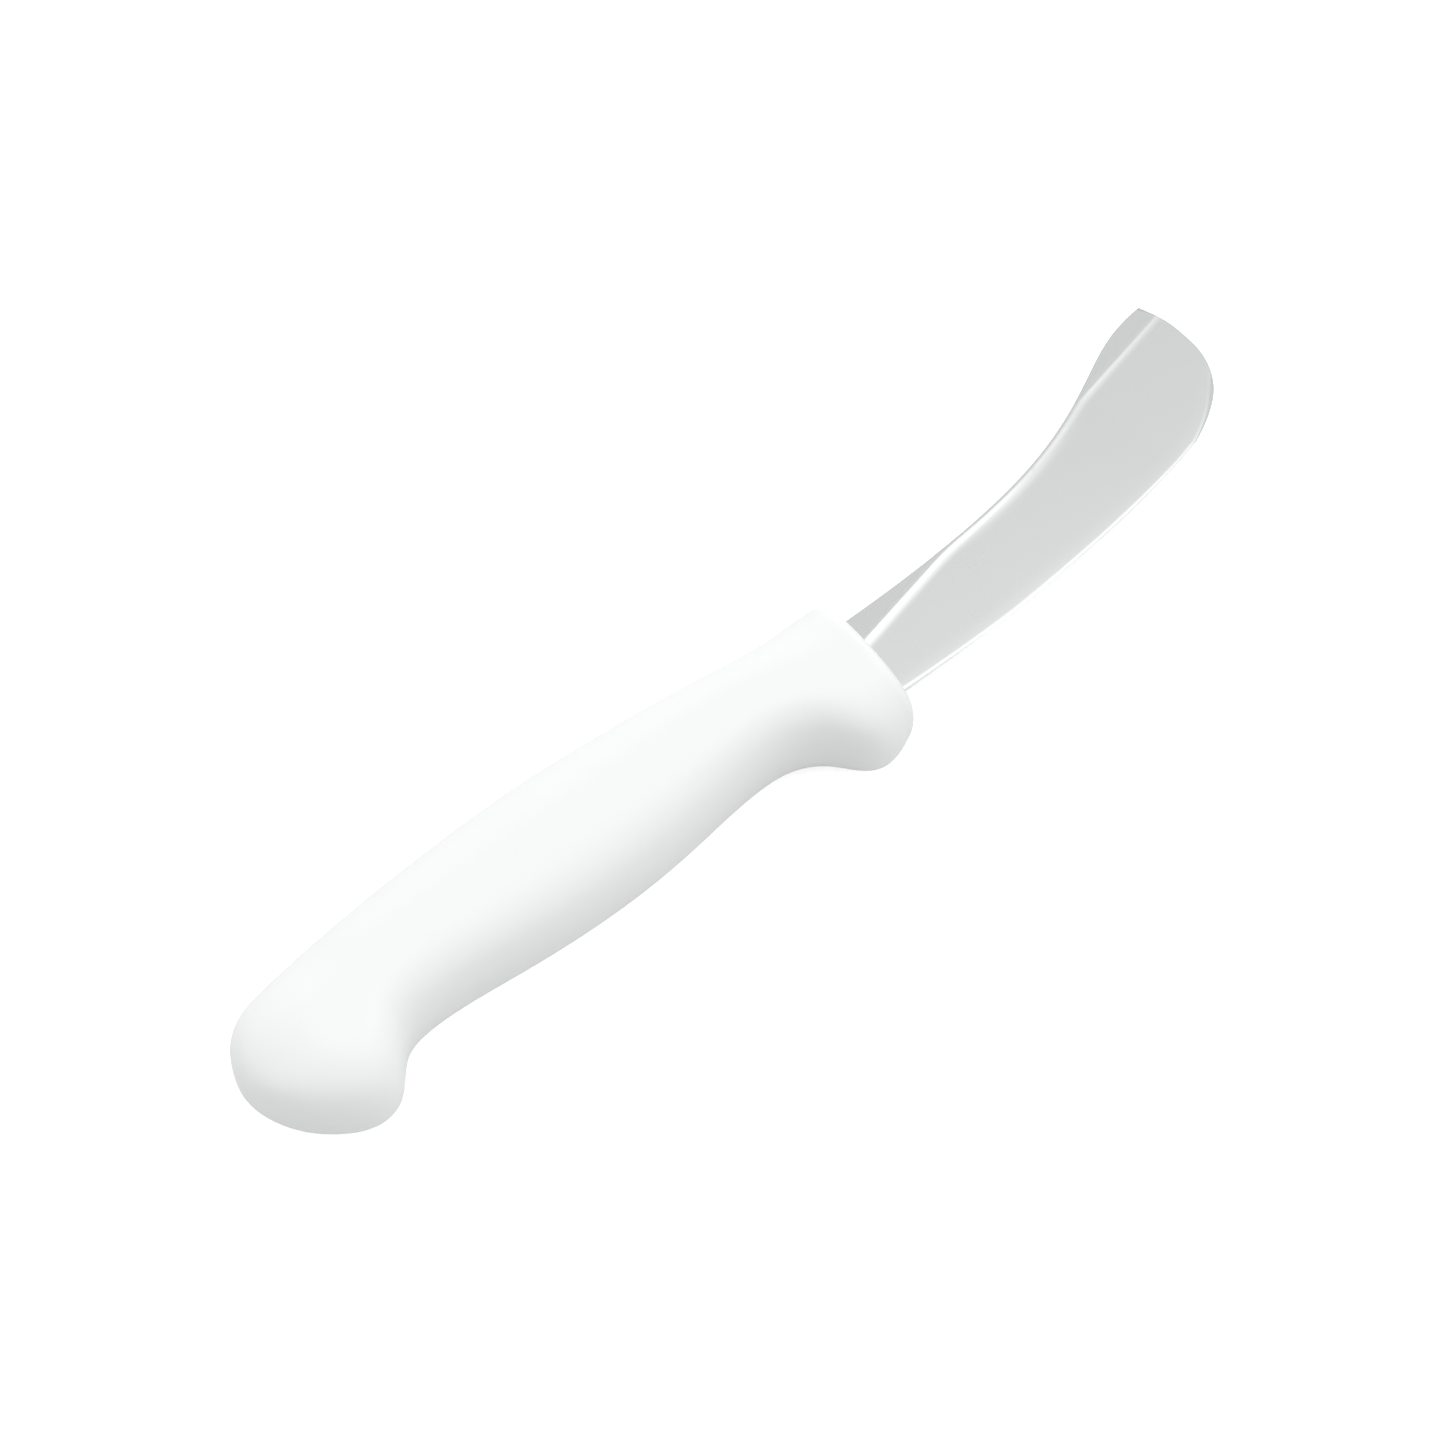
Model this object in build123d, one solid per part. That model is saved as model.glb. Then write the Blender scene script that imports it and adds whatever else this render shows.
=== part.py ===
"""Short knife with a broad upswept blade, whose tang is moulded into a plastic handle.

The knife lies on its side. X runs from the butt to the tip, Y towards the spine, Z up through its thickness.
It is drawn with the handle's front at X 0 and the blade's middle plane at Z 0, and moved at the end, so that
the origin is at the middle of its base. Lengths are in millimetres and angles in degrees.
"""

import os
from math import copysign, cos, pi, radians, sin, tan

from build123d import *

# Handle
HANDLE_LENGTH = 127.0
SIDE_HALF = 9.2  # half its thickness along most of its length
FLAT_HALF = 9.0  # half the distance between the flats down the middle of its two sides
SECTION_POWER = 2.6  # 2 is an ellipse, more is squarer
SECTION_POINTS = 24
FRONT_ROUND = 2.4
BUTT_POLE = (-HANDLE_LENGTH, -2.0)

# Each row is a cut across the handle: its end on the spine side, its end on the palm side, half its thickness.
HANDLE_CUTS = [
    ((-126.5, 1.4), (-126.4, -4.8), 3.8),
    ((-124.4, 5.7), (-123.5, -10.6), 6.5),
    ((-119.8, 9.2), (-118.0, -15.9), 8.3),
    ((-113.0, 10.8), (-111.8, -18.4), SIDE_HALF),
    ((-106.0, 11.9), (-106.4, -16.5), SIDE_HALF),
    ((-100.5, 12.5), (-102.2, -11.8), SIDE_HALF),
    ((-94.0, 13.2), (-96.0, -9.8), SIDE_HALF),
    ((-80.0, 14.4), (-81.0, -10.4), SIDE_HALF),
    ((-62.0, 15.1), (-62.0, -11.4), SIDE_HALF),
    ((-44.0, 14.3), (-43.5, -10.1), SIDE_HALF),
    ((-28.0, 12.8), (-27.5, -7.9), SIDE_HALF),
    ((-18.5, 11.7), (-19.0, -8.9), SIDE_HALF),
    ((-13.0, 11.4), (-14.5, -12.1), SIDE_HALF),
    ((-7.0, 11.6), (-10.0, -16.8), SIDE_HALF),
    ((-3.4, 11.7), (-4.5, -16.6), SIDE_HALF),
    ((0.0, 11.9), (0.0, -14.7), SIDE_HALF),
]

# Blade
STOCK = 1.6
ROOT_SPINE = 7.1
ROOT_EDGE = -9.2
SPINE_DIP = [(28.0, 8.6), (47.7, 12.1), (61.9, 17.6), (70.0, 21.8)]  # where the spine sweeps up to the tip
SPINE_END_SLOPE = 0.1
TIP_TOP = (82.0, 25.2)
TIP_SHOULDER = (83.2, 22.4)
ROUND_END = [(83.4, 7.4), (84.75, 12.4), (84.5, 17.4)]  # up from the sharp edge
EDGE_RUN_OFF = (80.6, 3.6)  # where the sharpening goes straight on and leaves the round end
RUN_OFF_SLOPE = 0.9
BELLY_MIDDLE = (76.5, 0.6)
BELLY_START = (72.2, -1.6)
EDGE_MIDDLE = (37.4, -7.4)
EDGE_END_SLOPE = 0.27
BELLY_SLOPE = 0.45

# Grinding
GRIND_HEEL = (3.2, 2.6)  # the two ends of the line on the flat side where the hollow grind starts
GRIND_TIP = (83.0, 22.0)
GRIND_RUN_ON = 6.0  # how far the grinding runs on past both ends of that line
GRIND_REACH = 26.0  # how far it reaches from that line, past the cutting edge
HEEL_GRIND = (11.0, 2.4, 10.0)  # slope where the grind starts, slope where it ends, radius between them
TIP_GRIND = (6.5, 1.5, 16.0)
BEVEL_WIDTH = 2.2
EDGE_LAND = 0.02  # thickness left at the very edge
CUTTER_SPARE = 3.0
RUN_OFF_LENGTH = 8.0

# Tang
TANG_LENGTH = 92.0
TANG_NECK = 6.0  # how far the blade's full width goes into the handle
TANG_SPINE = 6.0
TANG_PALM = -3.5
TANG_END_MIDDLE = 2.5
TANG_END_WIDTH = 7.0
HOLE_RADIUS = 2.2
HOLE_COUNT = 4
HOLE_PITCH = 20.0
FIRST_HOLE = -20.0
HOLE_HEIGHT = 1.8


def handle_cut(spine_end, palm_end, half_thickness):
    """A closed superellipse that stands on the line between its two ends."""
    spine, palm = Vector(*spine_end), Vector(*palm_end)
    middle = (spine + palm) / 2
    reach = (spine - palm) / 2
    points = []
    for step in range(SECTION_POINTS):
        turn = 2 * pi * step / SECTION_POINTS
        across = copysign(abs(cos(turn)) ** (2 / SECTION_POWER), cos(turn))
        up = copysign(abs(sin(turn)) ** (2 / SECTION_POWER), sin(turn))
        points.append(middle + reach * across + Vector(0, 0, half_thickness * up))
    return Face(Wire(Edge.make_spline(points, periodic=True)))


def make_handle(blade):
    """One moulding. Plastic lies tight round the tang and fills the holes in it."""
    cuts = [handle_cut(*row) for row in HANDLE_CUTS]
    body = loft([Vertex(*BUTT_POLE, 0), *cuts])
    front = body.faces().sort_by(Axis.X)[-1]
    body = fillet(front.edges(), FRONT_ROUND)
    between_flats = Box(3 * HANDLE_LENGTH, HANDLE_LENGTH, 2 * FLAT_HALF)
    return body & between_flats - blade


def cutting_edge():
    """From the heel along the straight part, then round the belly."""
    heel = Spline((-TANG_NECK, ROOT_EDGE), EDGE_MIDDLE, BELLY_START, tangents=((1, 0), (1, EDGE_END_SLOPE)))
    belly_tangents = ((1, BELLY_SLOPE), (1, RUN_OFF_SLOPE))
    belly = Spline(BELLY_START, BELLY_MIDDLE, EDGE_RUN_OFF, tangents=belly_tangents)
    return [heel, belly]


def round_end():
    """The blunt end, from the belly up to the tip's corner."""
    corner = Vector(*TIP_TOP) - Vector(*TIP_SHOULDER)
    end = Spline(EDGE_RUN_OFF, *ROUND_END, TIP_SHOULDER, tangents=((1, RUN_OFF_SLOPE), corner.normalized()))
    return [end, Line(TIP_SHOULDER, TIP_TOP)]


def tang_outline():
    """From the cutting edge's side of the neck, round the tang's end, back to the spine's side."""
    end_palm = (-TANG_LENGTH, TANG_END_MIDDLE - TANG_END_WIDTH / 2)
    end_spine = (-TANG_LENGTH, TANG_END_MIDDLE + TANG_END_WIDTH / 2)
    neck = [(-TANG_NECK, height) for height in (ROOT_EDGE, TANG_PALM, TANG_SPINE, ROOT_SPINE)]
    return Polyline(neck[0], neck[1], end_palm, end_spine, neck[2], neck[3])


def blank():
    """The blade and its tang, punched from flat stock."""
    spine_tangents = ((1, 0), (1, SPINE_END_SLOPE))
    spine = Spline((-TANG_NECK, ROOT_SPINE), *SPINE_DIP, TIP_TOP, tangents=spine_tangents)
    outline = Curve() + [spine, tang_outline(), *cutting_edge(), *round_end()]
    plate = extrude(make_face(outline), STOCK / 2, both=True)
    for hole in range(HOLE_COUNT):
        plate -= Pos(FIRST_HOLE - hole * HOLE_PITCH, HOLE_HEIGHT) * Cylinder(HOLE_RADIUS, 2 * STOCK)
    return plate


def grind_section(plane, start_slope, end_slope, radius):
    """What the wheel takes off one side: it dips quickly from the flat, then slopes gently to the edge."""
    steep, gentle = radians(start_slope), radians(end_slope)
    start = (0, STOCK / 2)
    dip = (radius * (sin(steep) - sin(gentle)), STOCK / 2 - radius * (cos(gentle) - cos(steep)))
    end = (GRIND_REACH, dip[1] - (GRIND_REACH - dip[0]) * tan(gentle))
    hollow = TangentArc(start, dip, tangent=(cos(steep), -sin(steep)))
    rest = Polyline(dip, end, (GRIND_REACH, STOCK), (0, STOCK), start)
    return plane * make_face(Curve() + [hollow, rest])


def hollow_grind():
    """The wheel's cut in the upper side, all along the blade."""
    heel, tip = Vector(*GRIND_HEEL), Vector(*GRIND_TIP)
    along = (tip - heel).normalized()
    towards_edge = along.rotate(Axis.Z, -90)
    places = (heel - along * GRIND_RUN_ON, tip + along * GRIND_RUN_ON)
    sections = []
    for place, grind in zip(places, (HEEL_GRIND, TIP_GRIND)):
        plane = Plane(origin=place, x_dir=towards_edge, z_dir=-along)
        sections.append(grind_section(plane, *grind))
    return loft(sections, ruled=True)


def sharpening():
    """The bevel along the upper side of the cutting edge."""
    run_off = Vector(*EDGE_RUN_OFF) + Vector(1, RUN_OFF_SLOPE) * RUN_OFF_LENGTH
    path = Wire([*cutting_edge(), Line(EDGE_RUN_OFF, run_off)])
    plane = Plane(origin=path @ 0, x_dir=(0, 1, 0), z_dir=path % 0)
    land, face, clear = EDGE_LAND / 2, STOCK / 2, STOCK
    corners = [
        (0, land),
        (BEVEL_WIDTH, face),
        (BEVEL_WIDTH, clear),
        (-CUTTER_SPARE, clear),
        (-CUTTER_SPARE, land),
    ]
    return sweep(plane * make_face(Polyline(*corners, close=True)), path, transition=Transition.RIGHT)


def make_blade():
    blade = blank()
    for cut in (hollow_grind(), sharpening()):
        blade = blade - cut - mirror(cut, Plane.XY)
    return blade


if __name__ == "__main__":
    blade = make_blade()
    pieces = {"blade": blade, "handle": make_handle(blade)}
    box = Compound(list(pieces.values())).bounding_box()
    base_middle = Pos(box.center().X, box.center().Y, box.min.Z)
    os.makedirs("parts", exist_ok=True)
    for name, piece in pieces.items():
        export_step(base_middle.inverse() * piece, f"parts/{name}.step")
        print(name, piece.is_valid, len(piece.solids()), round(piece.volume), piece.bounding_box())
    print("origin", base_middle.position)
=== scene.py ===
import math
import bpy
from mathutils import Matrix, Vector


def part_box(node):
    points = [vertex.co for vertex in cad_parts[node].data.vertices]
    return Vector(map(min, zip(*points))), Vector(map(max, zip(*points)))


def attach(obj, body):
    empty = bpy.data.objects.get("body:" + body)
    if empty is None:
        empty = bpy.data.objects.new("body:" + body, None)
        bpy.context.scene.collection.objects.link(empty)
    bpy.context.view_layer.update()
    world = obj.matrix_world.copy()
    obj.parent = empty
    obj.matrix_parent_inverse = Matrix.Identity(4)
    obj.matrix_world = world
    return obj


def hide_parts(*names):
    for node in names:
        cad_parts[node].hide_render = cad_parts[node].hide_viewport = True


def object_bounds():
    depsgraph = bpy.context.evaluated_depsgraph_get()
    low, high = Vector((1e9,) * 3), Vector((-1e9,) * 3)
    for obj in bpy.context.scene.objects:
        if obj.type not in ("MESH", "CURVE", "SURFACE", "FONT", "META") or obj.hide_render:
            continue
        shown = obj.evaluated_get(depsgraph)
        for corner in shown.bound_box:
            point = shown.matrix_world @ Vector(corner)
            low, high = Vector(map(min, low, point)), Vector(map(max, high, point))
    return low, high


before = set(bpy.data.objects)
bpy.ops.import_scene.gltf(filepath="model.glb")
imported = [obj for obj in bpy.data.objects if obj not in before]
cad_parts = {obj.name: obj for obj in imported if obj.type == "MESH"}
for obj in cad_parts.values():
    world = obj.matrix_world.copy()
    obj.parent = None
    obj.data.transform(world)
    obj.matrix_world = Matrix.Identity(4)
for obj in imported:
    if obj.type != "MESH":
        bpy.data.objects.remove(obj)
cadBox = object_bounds()
scene = bpy.context.scene
mm = 0.001

bladeLow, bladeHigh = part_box("blade")
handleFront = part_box("handle")[1].x
# the knife is drawn from the handle's front, the blade's middle plane and the height of the tip
tipHeight = 25.2 * mm
datum = Vector((handleFront, bladeHigh.y - tipHeight, (bladeLow.z + bladeHigh.z) / 2))


def place(x, y, z=0.0):
    return datum + Vector((x, y, z)) * mm


def deselectAll():
    if bpy.context.object and bpy.context.object.mode != "OBJECT":
        bpy.ops.object.mode_set(mode="OBJECT")
    bpy.ops.object.select_all(action="DESELECT")


def activate(piece):
    deselectAll()
    piece.select_set(True)
    bpy.context.view_layer.objects.active = piece


def applyModifier(piece, kind, **settings):
    activate(piece)
    modifier = piece.modifiers.new(kind.title(), kind)
    for name, value in settings.items():
        setattr(modifier, name, value)
    bpy.ops.object.modifier_apply(modifier=modifier.name)


def copyOf(node, name):
    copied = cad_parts[node].copy()
    copied.data = copied.data.copy()
    copied.name = name
    scene.collection.objects.link(copied)
    activate(copied)
    bpy.ops.object.mode_set(mode="EDIT")
    bpy.ops.mesh.select_all(action="SELECT")
    bpy.ops.mesh.remove_doubles(threshold=0.001 * mm)
    bpy.ops.object.mode_set(mode="OBJECT")
    return copied


handle = {
    "aroundCount": 24,
    # how far each ring of the cage stands behind the front, in mm
    "rings": [0.0, 0.7, 2.4, 4.5, 6.5, 8.5, 10.5, 12.5, 14.5, 16.5, 18.5, 21, 24, 28, 33, 39, 46, 54, 62,
              70, 78, 85, 91, 96, 99.5, 102, 104, 106, 108.5, 111.5, 114.5, 117.5, 120, 122, 123.7, 125, 126,
              126.6],
    # the first ring's profile is read this far behind the front, in mm
    "frontSpare": 0.02,
    "frontInsets": [1.2, 2.2, 2.6],
    "cageLevels": 2,
    "smoothing": 0.5,
    "smoothPasses": 6,
    "lastLevels": 1,
}


def ringSpan(cad, x):
    # where the moulding's profile starts and ends at this distance, on the blade's middle plane
    spine = cad.ray_cast(Vector((x, 1, datum.z)), Vector((0, -1, 0)))[1]
    palm = cad.ray_cast(Vector((x, -1, datum.z)), Vector((0, 1, 0)))[1]
    middle = (spine.y + palm.y) / 2
    top = cad.ray_cast(Vector((x, middle, 1)), Vector((0, 0, -1)))[1]
    return middle, (spine.y - palm.y) / 2, top.z - datum.z


def handleCage(places, spans):
    # a closed tube of rings along the handle, each as high and as thick as the moulding is there
    deselectAll()
    bpy.ops.mesh.primitive_circle_add(vertices=handle["aroundCount"], radius=1, fill_type="NGON",
                                      location=(0, 0, 0), rotation=(0, math.pi / 2, 0))
    cage = bpy.context.object
    cage.name = "handle_skin"
    bpy.ops.object.transform_apply(location=True, rotation=True, scale=True)
    bpy.ops.object.mode_set(mode="EDIT")
    bpy.ops.mesh.select_all(action="SELECT")
    x = places[0]
    middle, half, thick = spans[0]
    bpy.ops.transform.resize(value=(1, half, thick))
    bpy.ops.transform.translate(value=(x, middle, datum.z))
    for nextX, (nextMiddle, nextHalf, nextThick) in zip(places[1:], spans[1:]):
        bpy.ops.mesh.extrude_region_move(
            TRANSFORM_OT_translate={"value": (nextX - x, nextMiddle - middle, 0)})
        bpy.ops.transform.resize(value=(1, nextHalf / half, nextThick / thick),
                                 center_override=(nextX, nextMiddle, datum.z))
        x, middle, half, thick = nextX, nextMiddle, nextHalf, nextThick
    # a ring inside the butt's cap
    bpy.ops.mesh.select_mode(type="FACE")
    bpy.ops.mesh.inset(thickness=half / 2)
    bpy.ops.mesh.select_all(action="SELECT")
    bpy.ops.mesh.normals_make_consistent(inside=False)
    bpy.ops.mesh.select_all(action="DESELECT")
    bpy.ops.object.mode_set(mode="OBJECT")
    return cage


def insetFront(cage):
    # rings inside the front face hold its rim's round
    front = max(cage.data.polygons, key=lambda face: face.center.x)
    front.select = True
    bpy.ops.object.mode_set(mode="EDIT")
    for inset in handle["frontInsets"]:
        bpy.ops.mesh.inset(thickness=inset * mm)
    bpy.ops.object.mode_set(mode="OBJECT")


def makeHandle():
    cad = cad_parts["handle"]
    places = [datum.x - distance * mm for distance in handle["rings"]]
    places[0] -= handle["frontSpare"] * mm
    piece = handleCage(places, [ringSpan(cad, x) for x in places])
    insetFront(piece)
    applyModifier(piece, "SUBSURF", levels=handle["cageLevels"], render_levels=handle["cageLevels"])
    applyModifier(piece, "SHRINKWRAP", target=cad, wrap_method="NEAREST_SURFACEPOINT")
    applyModifier(piece, "SMOOTH", factor=handle["smoothing"], iterations=handle["smoothPasses"])
    applyModifier(piece, "SUBSURF", levels=handle["lastLevels"], render_levels=handle["lastLevels"])
    activate(piece)
    bpy.ops.object.shade_smooth()
    print("handle:", len(piece.data.polygons), "faces")
    return piece


# measured in mm from the middle of the handle's front: x towards the tip, y towards the spine
blade = {
    # places on the spine and on the edge that a line across the blade joins
    "spineStops": [(-92.0, 6.0), (-8.0, 6.0), (-4.0, 7.1), (28.0, 8.6), (61.9, 17.6), (82.0, 25.2)],
    "edgeStops": [(-92.0, -1.0), (-8.0, -3.44), (-4.0, -9.2), (37.4, -7.4), (72.2, -1.6), (83.2, 22.4)],
    "stopSteps": [12, 3, 22, 24, 40],
    # the tang and its shoulders are drawn straight between their stops, as far as this
    "straightTo": -4.0,
    # how far the rows stand from the spine, the edge and the cut-off end, with more rows between
    "fromSpine": [0.0, 0.004, 0.03, 0.06, 0.1, 0.15, 0.3, 0.6],
    "fromEdge": [0.0, 0.004, 0.03, 0.06, 0.1, 0.15, 0.3, 0.5, 0.7, 0.9, 1.1, 1.3, 1.6, 2.0, 2.5, 3.1],
    "fromTip": [0.004, 0.03, 0.06, 0.1, 0.15, 0.3, 0.6],
    "rowsMiddle": 14,
    # where the steel is narrower than this, the rows crowd together
    "narrowWidth": 9.0,
    # the sharpening goes straight on from here and leaves the round end
    "runOff": (80.6, 3.6),
    "runOffTo": (86.6, 9.0),
    # the sharp edge and the tang's edge overlap by this much on each side of the handle's front
    "heelOverlap": 0.5,
    "stock": 1.6,
    # the line where the hollow grind starts, and how far the wheel runs on past its ends
    "grindHeel": (3.2, 2.6),
    "grindTip": (83.0, 22.0),
    "runOn": 6.0,
    # at each end, in degrees and mm: the slope where the hollow starts, where it ends, its radius
    "heelSlopes": (11.0, 2.4, 14.0),
    "tipSlopes": (6.5, 1.5, 16.0),
    # rows of vertices along the grind, by their distance from its line
    "grindRows": [-0.1, -0.04, 0.0, 0.04, 0.1, 0.25, 0.45, 0.65, 0.85, 1.05, 1.25, 1.45, 1.6, 1.9],
    "startSoft": 0.03,
    "spineStrip": 0.5,
    "lineSoft": 0.5,
    "edgeBand": 3.0,
    "bandSlope": 1.2,
    "bevelSlope": 15.5,
    "bevelSoft": 0.05,
    # half the thickness left at the sharp edge, and the least anywhere inside the rim
    "edgeLand": 0.01,
    "leastHalf": 0.005,
    "spineRound": 0.1,
    "rowMerge": 0.0005,
    "rimMerge": 0.00005,
    "smoothAngle": 40.0,
}


def softMin(a, b, softness):
    near = max(softness - abs(a - b), 0) / softness
    return min(a, b) - near * near * softness / 4


def grindLine():
    heel, tip = Vector(blade["grindHeel"]), Vector(blade["grindTip"])
    along = (tip - heel).normalized()
    return heel, along, Vector((along.y, -along.x)), (tip - heel).length


def groundHeight(point, toSpine, toEdge):
    # half the thickness that the wheel leaves at a place on the blade
    heel, along, across, length = grindLine()
    u = (point - heel).dot(along)
    # where the wheel's line would leave the blade, it follows the spine instead
    w = softMin((point - heel).dot(across), toSpine - blade["spineStrip"], blade["lineSoft"])
    top = blade["stock"] / 2
    if u < -blade["runOn"]:
        return top
    share = min(max((u + blade["runOn"]) / (length + 2 * blade["runOn"]), 0), 1)
    steep, gentle, radius = [a + (b - a) * share for a, b in zip(blade["heelSlopes"], blade["tipSlopes"])]
    steep, gentle = math.radians(steep), math.radians(gentle)
    dipWidth = radius * (math.sin(steep) - math.sin(gentle))
    slope = math.asin(math.sin(steep) - min(max(w, 0), dipWidth) / radius)
    dip = radius * (math.cos(slope) - math.cos(steep))
    ground = top - min(w, 0) * math.tan(steep) - dip - max(w - dipWidth, 0) * math.tan(gentle)
    # the wheel leans a little more towards the edge
    lean = max(blade["edgeBand"] - toEdge, 0) ** 2 / (2 * blade["edgeBand"])
    return softMin(top, ground, blade["startSoft"]) - lean * math.tan(math.radians(blade["bandSlope"]))


def bladeOutline():
    # the rim of the blade's middle plane, in order, as points in mm
    rim = copyOf("blade", "blade_rim")
    bpy.ops.object.mode_set(mode="EDIT")
    bpy.ops.mesh.select_all(action="SELECT")
    # far below any gap between the copy's vertices, which are in metres
    threshold = 1e-8
    bpy.ops.mesh.bisect(plane_co=datum, plane_no=(0, 0, 1), clear_inner=True, clear_outer=True,
                        threshold=threshold)
    bpy.ops.object.mode_set(mode="OBJECT")
    neighbours = {vert.index: [] for vert in rim.data.vertices}
    for edge in rim.data.edges:
        a, b = edge.vertices
        neighbours[a].append(b)
        neighbours[b].append(a)
    places = [(vert.co - datum).xy / mm for vert in rim.data.vertices]
    start = max(neighbours, key=lambda index: places[index].y)
    path = [start, neighbours[start][0]]
    while path[-1] != start:
        path.append(next(index for index in neighbours[path[-1]] if index != path[-2]))
    bpy.data.objects.remove(rim)
    return [places[index] for index in path[:-1]]


def stretch(outline, first, last):
    # the outline's points from one stop to another, the shorter way round
    def nearest(stop):
        return min(range(len(outline)), key=lambda index: (outline[index] - Vector(stop)).length)

    count = len(outline)
    a, b = nearest(first), nearest(last)
    forward = (b - a) % count
    if forward <= count / 2:
        return [outline[(a + step) % count] for step in range(forward + 1)]
    return [outline[(a - step) % count] for step in range(count - forward + 1)]


def alongCurve(points, t):
    # a smooth curve through the points, by its length
    lengths = [0.0]
    for a, b in zip(points, points[1:]):
        lengths.append(lengths[-1] + (b - a).length)
    want = t * lengths[-1]
    index = 0
    while index < len(points) - 2 and lengths[index + 1] < want:
        index += 1
    p1, p2 = points[index], points[index + 1]
    p0 = points[index - 1] if index else p1 * 2 - p2
    p3 = points[index + 2] if index + 2 < len(points) else p2 * 2 - p1
    s = (want - lengths[index]) / (lengths[index + 1] - lengths[index])
    spread = (p2 - p1).length
    start = ((p2 - p1).normalized() + (p1 - p0).normalized()).normalized() * spread
    finish = ((p3 - p2).normalized() + (p2 - p1).normalized()).normalized() * spread
    return (p1 * (2 * s ** 3 - 3 * s ** 2 + 1) + start * (s ** 3 - 2 * s ** 2 + s)
            + p2 * (3 * s ** 2 - 2 * s ** 3) + finish * (s ** 3 - s ** 2))


def railPoints(outline, stops):
    rail = []
    for first, last, steps in zip(stops, stops[1:], blade["stopSteps"]):
        points = [Vector(first), Vector(last)]
        if last[0] > blade["straightTo"]:
            points[1:1] = stretch(outline, first, last)[1:-1]
        rail += [alongCurve(points, step / steps) for step in range(steps)]
    rail.append(alongCurve(points, 1))
    return rail


def distanceTo(point, rail):
    gaps = []
    for a, b in zip(rail, rail[1:]):
        t = max(0.0, min(1.0, (point - a).dot(b - a) / (b - a).length_squared))
        gaps.append((a + (b - a) * t - point).length)
    return min(gaps)


def rimOf(piece):
    # the vertices on the open rim of a sheet
    faces = {}
    for face in piece.data.polygons:
        for edge in face.edge_keys:
            faces[edge] = faces.get(edge, 0) + 1
    return {index for edge, count in faces.items() if count == 1 for index in edge}


def crossLines(spineRail, edgeRail):
    # the ends of the lines across the blade, with extra lines close to its cut-off end
    tipLines = []
    for inset in reversed(blade["fromTip"]):
        tipLines.append([rail[-1] + (rail[-2] - rail[-1]).normalized() * inset
                         for rail in (spineRail, edgeRail)])
    return list(zip(spineRail[:-1], edgeRail[:-1])) + tipLines + [(spineRail[-1], edgeRail[-1])]


def rowReach(row, rowCount, width):
    # how far from the spine a row stands, on a line of this width
    fromSpine, fromEdge = blade["fromSpine"], blade["fromEdge"]
    shrink = min(1, width / blade["narrowWidth"])
    if row < len(fromSpine):
        return fromSpine[row] * shrink
    if row >= rowCount - len(fromEdge):
        return width - fromEdge[rowCount - 1 - row] * shrink
    first, last = fromSpine[-1] * shrink, width - fromEdge[-1] * shrink
    return first + (last - first) * (row - len(fromSpine) + 1) / (blade["rowsMiddle"] + 1)


def bladeSheet(lines):
    # a flat sheet in the middle plane, in mm, with rows of vertices along the grind
    rowCount = len(blade["fromSpine"]) + blade["rowsMiddle"] + len(blade["fromEdge"])
    deselectAll()
    bpy.ops.mesh.primitive_grid_add(x_subdivisions=len(lines) - 1, y_subdivisions=rowCount - 1, size=1)
    sheet = bpy.context.object
    sheet.name = "blade_steel"
    for vert in sheet.data.vertices:
        column = round((vert.co.x + 0.5) * (len(lines) - 1))
        row = round((vert.co.y + 0.5) * (rowCount - 1))
        spine, edge = lines[column]
        width = (edge - spine).length
        vert.co = (*(spine + (edge - spine) * (rowReach(row, rowCount, width) / width)), 0)
    activate(sheet)
    bpy.ops.object.mode_set(mode="EDIT")
    heel, along, across, length = grindLine()
    for row in blade["grindRows"]:
        bpy.ops.mesh.select_all(action="SELECT")
        bpy.ops.mesh.bisect(plane_co=(*(heel + across * row), 0), plane_no=(*across, 0),
                            threshold=blade["rowMerge"])
    bpy.ops.object.mode_set(mode="OBJECT")
    return sheet


def raiseSheet(sheet, spineRail, edgeRail):
    # lifts everything inside the rim to half the blade's thickness
    rim = rimOf(sheet)
    runOff = Vector(blade["runOff"])
    overlap = blade["heelOverlap"]
    sharpCount = min(range(len(edgeRail)), key=lambda index: (edgeRail[index] - runOff).length)
    cutting = [point for point in edgeRail[:sharpCount] if point.x > -overlap]
    cutting += [runOff, Vector(blade["runOffTo"])]
    tangEdge = [point for point in edgeRail if point.x < overlap]
    blunt = spineRail + edgeRail[:sharpCount:-1]
    bevel = math.tan(math.radians(blade["bevelSlope"]))
    corner = blade["spineRound"]
    for vert in sheet.data.vertices:
        if vert.index in rim:
            continue
        point = vert.co.xy
        toEdge = distanceTo(point, cutting)
        height = groundHeight(point, distanceTo(point, spineRail), toEdge)
        height = softMin(height, blade["edgeLand"] + toEdge * bevel, blade["bevelSoft"])
        # the blunt edges have a small round
        toBlunt = min(distanceTo(point, blunt), distanceTo(point, tangEdge), point.x - spineRail[0].x)
        fall = max(corner - toBlunt, 0)
        height -= corner - math.sqrt(corner ** 2 - fall ** 2)
        vert.co.z = max(height, blade["leastHalf"])


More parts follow.
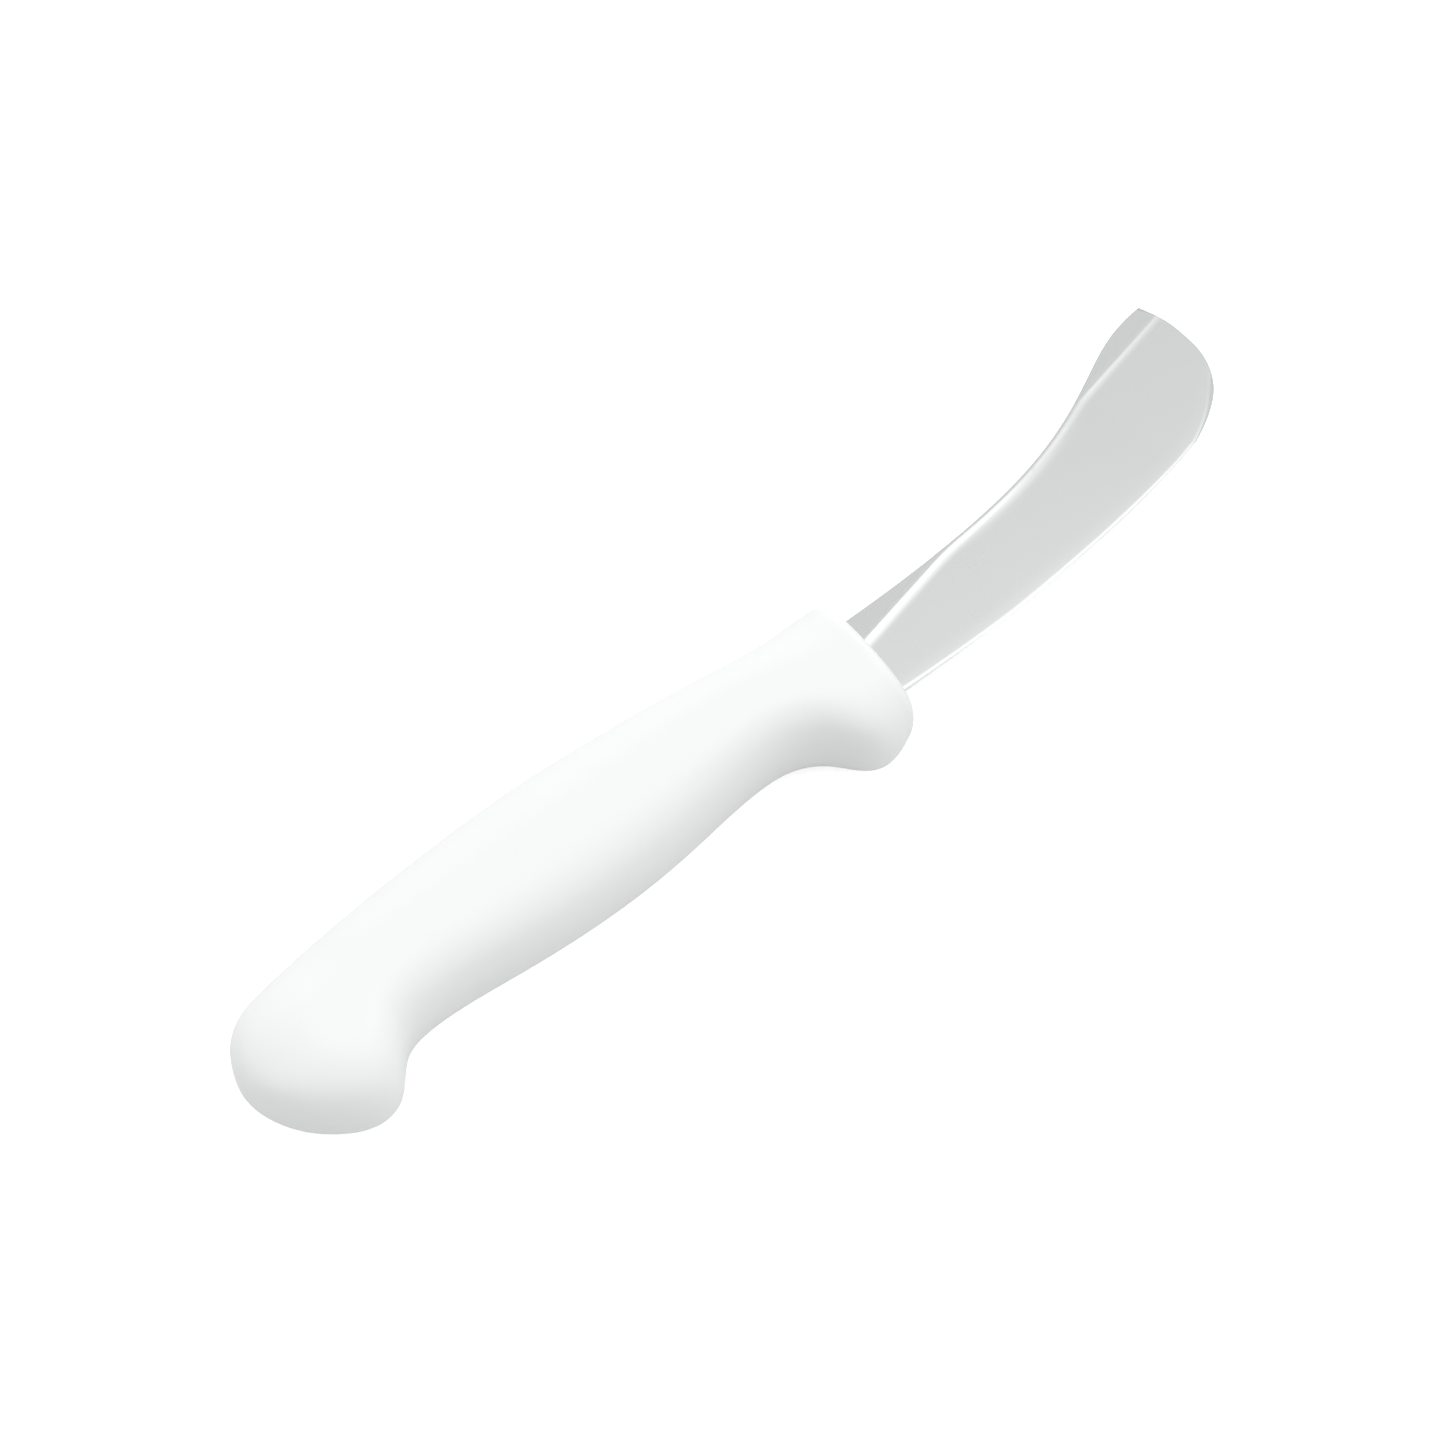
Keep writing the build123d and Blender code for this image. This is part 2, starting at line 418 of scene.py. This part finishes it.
def makeBlade():
    outline = bladeOutline()
    print("blade: outline of", len(outline), "points")
    spineRail = railPoints(outline, blade["spineStops"])
    edgeRail = railPoints(outline, blade["edgeStops"])
    piece = bladeSheet(crossLines(spineRail, edgeRail))
    raiseSheet(piece, spineRail, edgeRail)
    applyModifier(piece, "MIRROR", use_axis=(False, False, True), merge_threshold=blade["rimMerge"])
    for vert in piece.data.vertices:
        vert.co = place(*vert.co)
    activate(piece)
    bpy.ops.object.mode_set(mode="EDIT")
    bpy.ops.mesh.select_all(action="SELECT")
    bpy.ops.mesh.normals_make_consistent(inside=False)
    bpy.ops.object.mode_set(mode="OBJECT")
    bpy.ops.object.shade_smooth_by_angle(angle=math.radians(blade["smoothAngle"]))
    print("blade:", len(piece.data.polygons), "faces")
    return piece


class Socket:
    # wraps a socket, so that sums and products of socket values are written as plain expressions
    def __init__(self, tree, socket):
        self.tree = tree
        self.socket = socket

    def math(self, operation, *others, swapped=False):
        values = [self, *others]
        if swapped:
            values.reverse()
        node = self.tree.nodes.new("ShaderNodeMath")
        node.operation = operation
        for slot, value in zip(node.inputs, values):
            if isinstance(value, Socket):
                self.tree.links.new(value.socket, slot)
            else:
                slot.default_value = value
        return Socket(self.tree, node.outputs[0])

    def __add__(self, other):
        return self.math("ADD", other)

    def __mul__(self, other):
        return self.math("MULTIPLY", other)

    def __sub__(self, other):
        return self.math("SUBTRACT", other)

    def __rsub__(self, other):
        return self.math("SUBTRACT", other, swapped=True)


class Tree:
    # makes the nodes of one material, or of the room
    def __init__(self, tree):
        self.tree = tree

    def node(self, kind, settings=None, output=0, **inputs):
        node = self.tree.nodes.new("ShaderNode" + kind)
        for name, value in (settings or {}).items():
            setattr(node, name, value)
        for name, value in inputs.items():
            key = int(name[1:]) if name[0] == "i" and name[1:].isdigit() else name
            self.plug(node, key, value)
        return Socket(self.tree, node.outputs[output])

    def plug(self, node, name, value):
        if isinstance(value, Socket):
            self.tree.links.new(value.socket, node.inputs[name])
        else:
            node.inputs[name].default_value = value


class Finish(Tree):
    def __init__(self, name):
        self.material = bpy.data.materials.new(name)
        self.material.use_nodes = True
        super().__init__(self.material.node_tree)
        self.shader = self.tree.nodes["Principled BSDF"]

    def objectPlace(self):
        return self.node("TexCoord", output="Object")

    def stretched(self, grain, turn=0.0):
        # a grain of this size, in metres, turned about the knife's upright axis
        return self.node("Mapping", {"vector_type": "TEXTURE"}, Vector=self.objectPlace(), Scale=grain,
                         Rotation=(0, 0, turn))

    def noise(self, vector, scale, detail=3.0, roughness=0.5):
        return self.node("TexNoise", Vector=vector, Scale=scale, Detail=detail, Roughness=roughness)

    def mixColor(self, factor, a, b):
        return self.node("Mix", {"data_type": "RGBA"}, output=2, i0=factor, i6=a, i7=b)

    def ramp(self, factor, low, high):
        return self.node("MapRange", {"clamp": True}, Value=factor, i1=low, i2=high)

    def bump(self, height, distance, strength=1.0, normal=None):
        inputs = {"Height": height, "Distance": distance, "Strength": strength}
        if normal:
            inputs["Normal"] = normal
        return self.node("Bump", **inputs)

    def set(self, **values):
        for name, value in values.items():
            self.plug(self.shader, name.replace("_", " "), value)


plastic = {
    "white": (0.86, 0.875, 0.87, 1),
    "worn": (0.835, 0.85, 0.84, 1),
    "ior": 1.49,
    "roughness": 0.34,
    "cloudScale": 55.0,
    "cloudShare": 0.4,
    "cloudRough": 0.08,
    "grainScale": 4200.0,
    "grainDepth": 0.000008,
    "grainStrength": 0.3,
    # light scuffs, longest along the handle: their size in metres, and the part of the noise that shows
    "scuffGrain": (0.012, 0.0006, 0.002),
    "scuffRange": (0.62, 0.8),
    "scuffShare": 0.35,
    "scuffRough": 0.1,
    # the line where the mould's halves met: half its width and its height, in metres
    "seamWidth": 0.00012,
    "seamHeight": 0.00004,
    "seamStrength": 0.6,
}


def whitePlastic():
    finish = Finish("white_plastic")
    spot = finish.objectPlace()
    cloud = finish.noise(spot, plastic["cloudScale"])
    grain = finish.noise(spot, plastic["grainScale"], 2.0)
    scuffs = finish.noise(finish.stretched(plastic["scuffGrain"]), 1.0, 4.0)
    scuffs = finish.ramp(scuffs, *plastic["scuffRange"])
    height = finish.node("SeparateXYZ", i0=spot, output="Z")
    fromSeam = (height - datum.z).math("ABSOLUTE")
    seam = 1 - finish.ramp(fromSeam, 0, plastic["seamWidth"])
    relief = finish.bump(seam, plastic["seamHeight"], plastic["seamStrength"])
    wear = cloud * plastic["cloudShare"] + scuffs * plastic["scuffShare"]
    roughness = cloud * plastic["cloudRough"] + scuffs * plastic["scuffRough"] + plastic["roughness"]
    finish.set(Base_Color=finish.mixColor(wear, plastic["white"], plastic["worn"]),
               Roughness=roughness,
               Normal=finish.bump(grain, plastic["grainDepth"], plastic["grainStrength"], relief),
               IOR=plastic["ior"])
    return finish.material


steel = {
    "tone": (0.485, 0.498, 0.493, 1),
    "dark": (0.462, 0.474, 0.469, 1),
    "roughness": 0.2,
    "cloudScale": 70.0,
    "cloudShare": 0.8,
    "cloudRough": 0.05,
    # the grain that the grinding wheel leaves: its width and length, in metres
    "groundGrain": (0.00014, 0.006, 0.01),
    "groundShare": 0.2,
    "groundRough": 0.03,
    "grainDepth": 0.0000006,
    "grainStrength": 0.04,
    # the grain of the rolled sheet, along the blade
    "sheetGrain": (0.02, 0.0003, 0.01),
    "sheetRough": 0.04,
    # a few fine scratches, turned a little from the blade's length
    "scratchGrain": (0.009, 0.00012, 0.01),
    "scratchTurn": 0.25,
    "scratchRange": (0.7, 0.78),
    "scratchRough": 0.03,
}


def satinSteel():
    finish = Finish("satin_steel")
    along = grindLine()[1]
    turn = math.atan2(along.y, along.x)
    cloud = finish.noise(finish.objectPlace(), steel["cloudScale"])
    ground = finish.noise(finish.stretched(steel["groundGrain"], turn), 1.0)
    sheet = finish.noise(finish.stretched(steel["sheetGrain"], turn), 1.0)
    scratches = finish.noise(finish.stretched(steel["scratchGrain"], turn + steel["scratchTurn"]), 1.0)
    scratches = finish.ramp(scratches, *steel["scratchRange"])
    shade = cloud * steel["cloudShare"] + ground * steel["groundShare"]
    roughness = cloud * steel["cloudRough"] + ground * steel["groundRough"] + sheet * steel["sheetRough"]
    roughness = roughness + scratches * steel["scratchRough"] + steel["roughness"]
    finish.set(Base_Color=finish.mixColor(shade, steel["tone"], steel["dark"]),
               Roughness=roughness,
               Normal=finish.bump(ground, steel["grainDepth"], steel["grainStrength"]),
               Metallic=1.0)
    return finish.material


handleSkin = makeHandle()
bladeSteel = makeBlade()
for piece, node, slot, material in ((handleSkin, "handle", "white_plastic", whitePlastic()),
                                    (bladeSteel, "blade", "steel", satinSteel())):
    piece.data.materials.clear()
    piece.data.materials.append(material)
    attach(piece, "root")
    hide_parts(node)
print("pieces ready")


studio = {
    "floorSize": 6.0,
    "floorWhite": (0.88, 0.88, 0.88, 1),
    "floorRough": 0.9,
    "floorGlow": 0.56,
    # the room: it is brightest towards roomUp and darkest on the other side, between these cosines
    "roomUp": (0.38, 0.3, 0.875),
    "roomFade": (-0.4, 0.8),
    "roomDark": 0.2,
    "roomBright": 1.215,
    # a soft box overhead: where it hangs, how bright it is, and the cosines where it fades
    "boxTowards": (0.37, 0.06, 0.927),
    "boxBright": 2.2,
    "boxFade": (0.978, 0.998),
}


def makeFloor():
    deselectAll()
    bpy.ops.mesh.primitive_plane_add(size=studio["floorSize"], location=(0, 0, cadBox[0].z))
    floor = bpy.context.object
    floor.name = "floor"
    finish = Finish("floor_white")
    # the glow whitens the floor to the eye and lights nothing
    seen = finish.node("LightPath", output="Is Camera Ray")
    finish.set(Base_Color=studio["floorWhite"], Roughness=studio["floorRough"],
               Emission_Color=(1, 1, 1, 1), Emission_Strength=seen * studio["floorGlow"])
    floor.data.materials.append(finish.material)


def makeLight():
    world = bpy.data.worlds.new("studio")
    scene.world = world
    world.use_nodes = True
    room = Tree(world.node_tree)
    direction = room.node("TexCoord", output="Generated")

    def facing(towards, fade, dim, bright):
        # how bright a direction is, by how closely it points this way
        share = room.node("VectorMath", {"operation": "DOT_PRODUCT"}, output="Value",
                          i0=direction, i1=towards)
        return room.node("MapRange", {"interpolation_type": "SMOOTHSTEP"}, Value=share,
                         i1=fade[0], i2=fade[1], i3=dim, i4=bright)

    level = facing(studio["roomUp"], studio["roomFade"], studio["roomDark"], studio["roomBright"])
    level = level + facing(studio["boxTowards"], studio["boxFade"], 0, studio["boxBright"])
    background = world.node_tree.nodes["Background"]
    room.plug(background, "Color", (1, 1, 1, 1))
    room.plug(background, "Strength", level)


# angles in degrees, and lengths in mm, with the aim measured as on the blade
camera = {
    "azimuth": -37.94,
    "elevation": 60.94,
    "distance": 756.73,
    "aim": (-25.72, 4.863, 0.0),
    "lens": 113.89,
    "sensor": 36.0,
    "nearest": 10.0,
    "farthest": 20000.0,
}


def makeCamera():
    azimuth, elevation = math.radians(camera["azimuth"]), math.radians(camera["elevation"])
    back = Vector((math.sin(azimuth) * math.cos(elevation), -math.cos(azimuth) * math.cos(elevation),
                   math.sin(elevation)))
    data = bpy.data.cameras.new("camera")
    data.lens = camera["lens"]
    data.sensor_width = camera["sensor"]
    data.clip_start = camera["nearest"] * mm
    data.clip_end = camera["farthest"] * mm
    eye = bpy.data.objects.new("camera", data)
    scene.collection.objects.link(eye)
    eye.location = place(*camera["aim"]) + back * camera["distance"] * mm
    eye.rotation_euler = (-back).to_track_quat("-Z", "Y").to_euler()
    scene.camera = eye


makeFloor()
makeLight()
makeCamera()
scene.view_settings.view_transform = "Standard"
print("studio ready")
